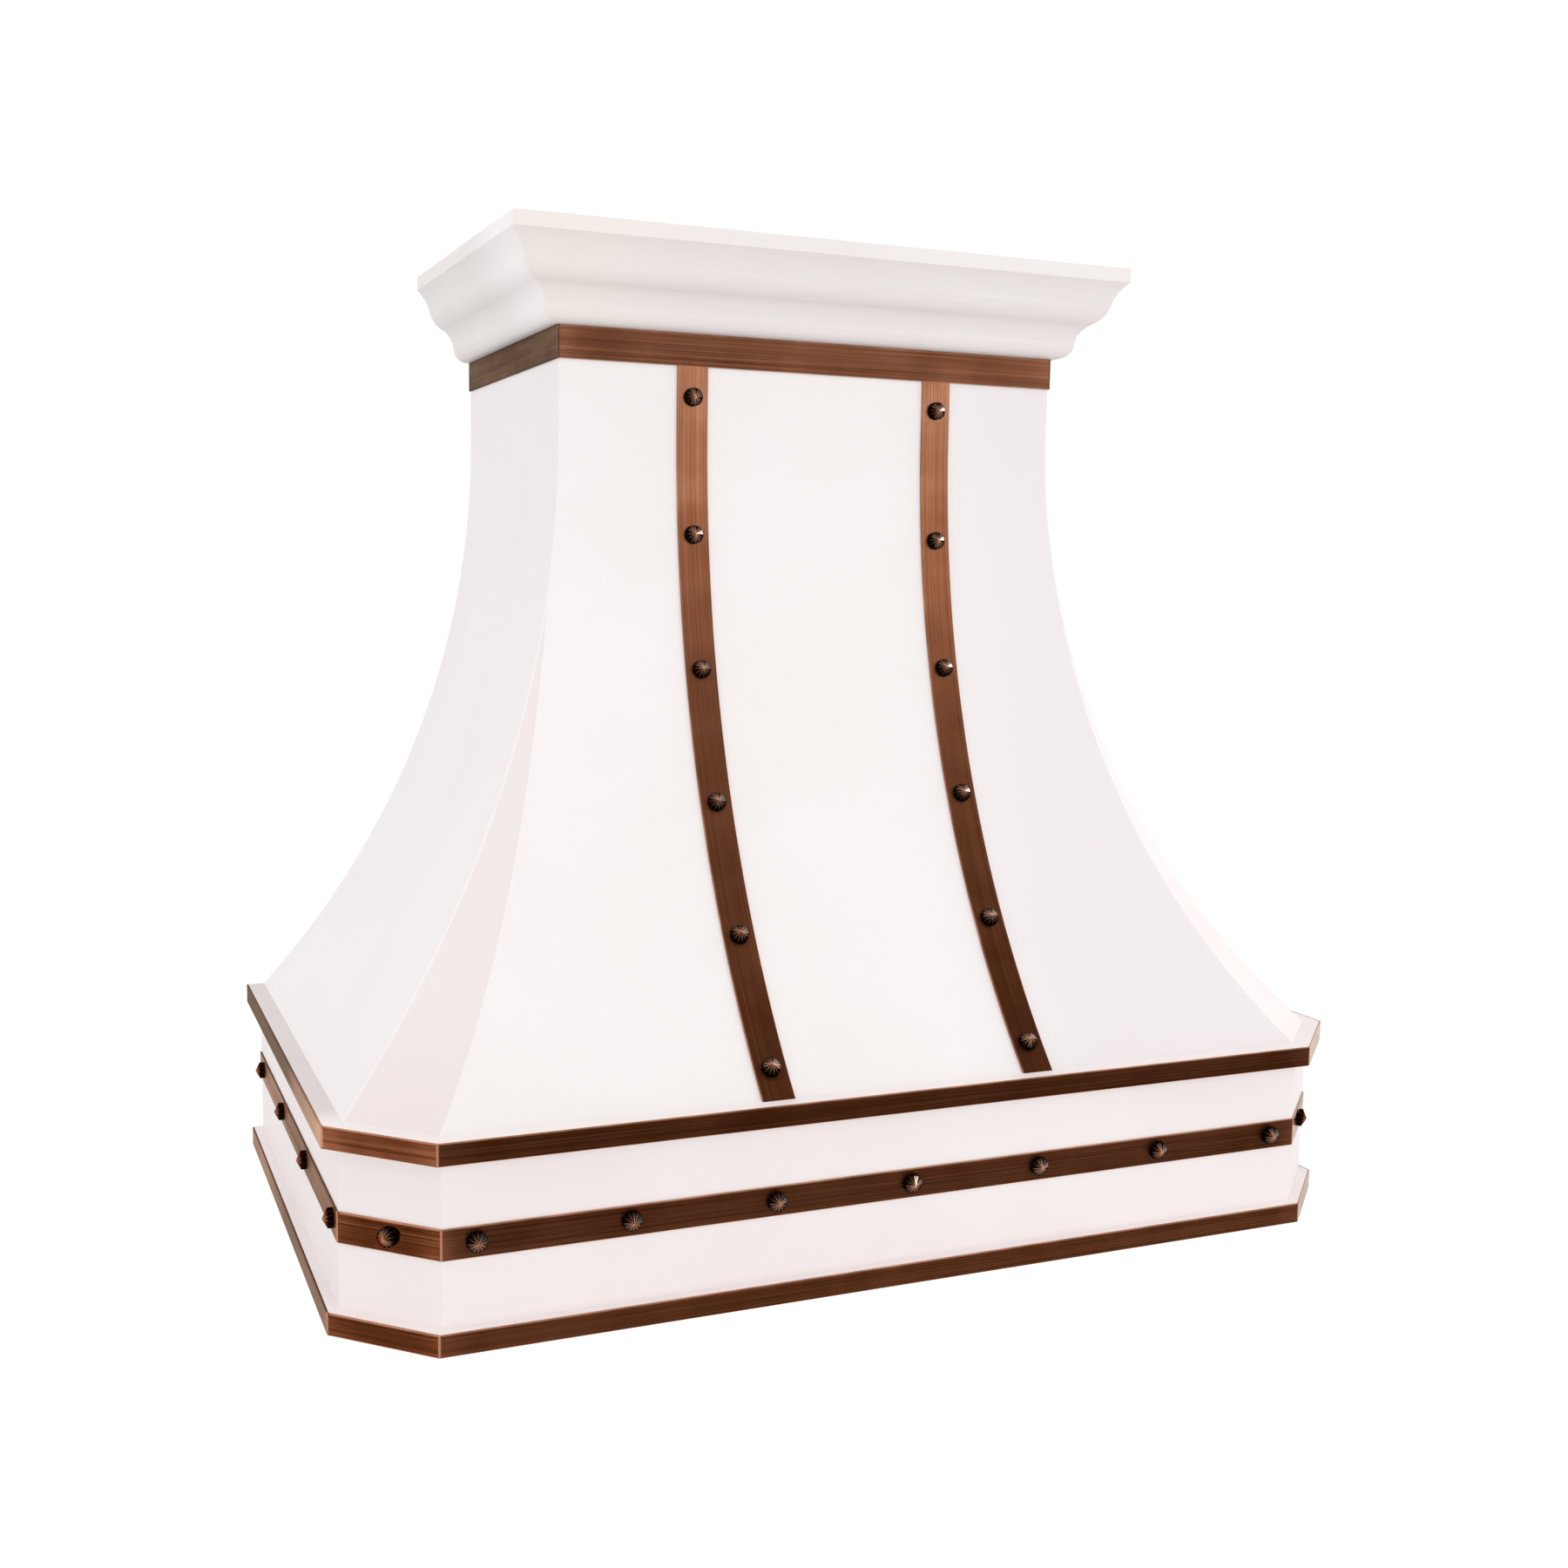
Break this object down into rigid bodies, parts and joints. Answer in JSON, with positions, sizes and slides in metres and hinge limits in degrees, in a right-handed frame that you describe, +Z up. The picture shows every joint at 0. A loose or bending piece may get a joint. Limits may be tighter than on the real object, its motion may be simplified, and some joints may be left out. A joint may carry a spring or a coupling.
{
  "type": "range hood",
  "caption": "Wall-mounted curved range hood: white flared body with crown moulding and apron, studded copper straps and bands, drop-down baffle filters, lamps, push buttons and blower.",
  "frame": {"origin": "on the wall, at the middle of the hood's lower edge", "axes": "+X to the right seen from the front, +Y into the wall, +Z up"},
  "size_m": [1.067, 0.6346, 0.9883],
  "materials": {
    "white_paint": "warm white satin paint",
    "painted_wood": "warm white satin paint on wood",
    "antique_copper": "antiqued copper, brushed along its length",
    "dark_bronze": "dark oiled bronze",
    "plywood": "bare plywood",
    "stainless": "brushed stainless",
    "galvanised": "spangled zinc coat",
    "motor_paint": "dark grey enamel",
    "bush_bronze": "sintered bronze",
    "black_plastic": "fine matt grain",
    "lens": "frosted glass"
  },
  "bodies": {
    "hood": {"apron_wall": "white_paint", "front_panel": "white_paint", "left_panel": "white_paint", "right_panel": "white_paint", "left_corner_gore": "white_paint", "right_corner_gore": "white_paint", "lower_ledge": "painted_wood", "upper_ledge": "painted_wood", "crown_front": "painted_wood", "crown_left": "painted_wood", "crown_right": "painted_wood", "lower_ledge_band": "antique_copper", "middle_band": "antique_copper", "upper_ledge_band": "antique_copper", "neck_band": "antique_copper", "left_strap": "antique_copper", "right_strap": "antique_copper", "left_strap_studs": "dark_bronze", "right_strap_studs": "dark_bronze", "front_apron_studs": "dark_bronze", "left_apron_studs": "dark_bronze", "right_apron_studs": "dark_bronze", "neck_frame": "plywood", "upper_wall_rail": "plywood", "lower_wall_rail": "plywood", "front_ribs": "plywood", "liner": "stainless", "liner_screws": "stainless", "filter_brackets": "stainless", "lamps": "stainless", "control_plate": "stainless", "damper_pin": "stainless", "back_panel": "galvanised", "blower_scroll": "galvanised", "blower_left_side": "galvanised", "blower_right_side": "galvanised", "motor_bracket": "galvanised", "blower_rails": "galvanised", "collar_plate": "galvanised", "duct_collar": "galvanised", "junction_box": "galvanised", "junction_box_cover": "galvanised", "blower_motor": "motor_paint", "motor_bushes": "bush_bronze", "switch_box": "black_plastic", "lamp_lenses": "lens"},
    "wheel": {"blower_wheel": "galvanised", "motor_shaft": "stainless"},
    "front_flap": {"front_damper_flap": "galvanised"},
    "rear_flap": {"rear_damper_flap": "galvanised"},
    "left_filter": {"left_filter": "stainless", "left_filter_baffles": "stainless", "left_filter_handle": "stainless"},
    "right_filter": {"right_filter": "stainless", "right_filter_baffles": "stainless", "right_filter_handle": "stainless"},
    "fan_button": {"fan_button": "black_plastic"},
    "low_speed_button": {"low_speed_button": "black_plastic"},
    "high_speed_button": {"high_speed_button": "black_plastic"},
    "light_button": {"light_button": "black_plastic"}
  },
  "joints": [
    {"name": "wheel_spin", "type": "hinge", "parent": "hood", "child": "wheel", "pos_m": [0, -0.296, 0.2214], "axis": [1, 0, 0], "continuous": true},
    {"name": "front_flap_swing", "type": "hinge", "parent": "hood", "child": "front_flap", "pos_m": [0, -0.1845, 0.3986], "axis": [-1, 0, 0], "range_deg": [0, 80]},
    {"name": "rear_flap_swing", "type": "hinge", "parent": "hood", "child": "rear_flap", "pos_m": [0, -0.1845, 0.3986], "axis": [1, 0, 0], "range_deg": [0, 80]},
    {"name": "left_filter_drop", "type": "hinge", "parent": "hood", "child": "left_filter", "pos_m": [0, -0.0882, 0.0335], "axis": [1, 0, 0], "range_deg": [0, 85]},
    {"name": "right_filter_drop", "type": "hinge", "parent": "hood", "child": "right_filter", "pos_m": [0, -0.0882, 0.0335], "axis": [1, 0, 0], "range_deg": [0, 85]},
    {"name": "fan_button_press", "type": "slide", "parent": "hood", "child": "fan_button", "axis": [0, 0, 1], "range_m": [0, 0.0025], "stiffness_N_per_m": 400, "springref_m": -0.002},
    {"name": "low_speed_button_press", "type": "slide", "parent": "hood", "child": "low_speed_button", "axis": [0, 0, 1], "range_m": [0, 0.0025], "stiffness_N_per_m": 400, "springref_m": -0.002},
    {"name": "high_speed_button_press", "type": "slide", "parent": "hood", "child": "high_speed_button", "axis": [0, 0, 1], "range_m": [0, 0.0025], "stiffness_N_per_m": 400, "springref_m": -0.002},
    {"name": "light_button_press", "type": "slide", "parent": "hood", "child": "light_button", "axis": [0, 0, 1], "range_m": [0, 0.0025], "stiffness_N_per_m": 400, "springref_m": -0.002}
  ]
}
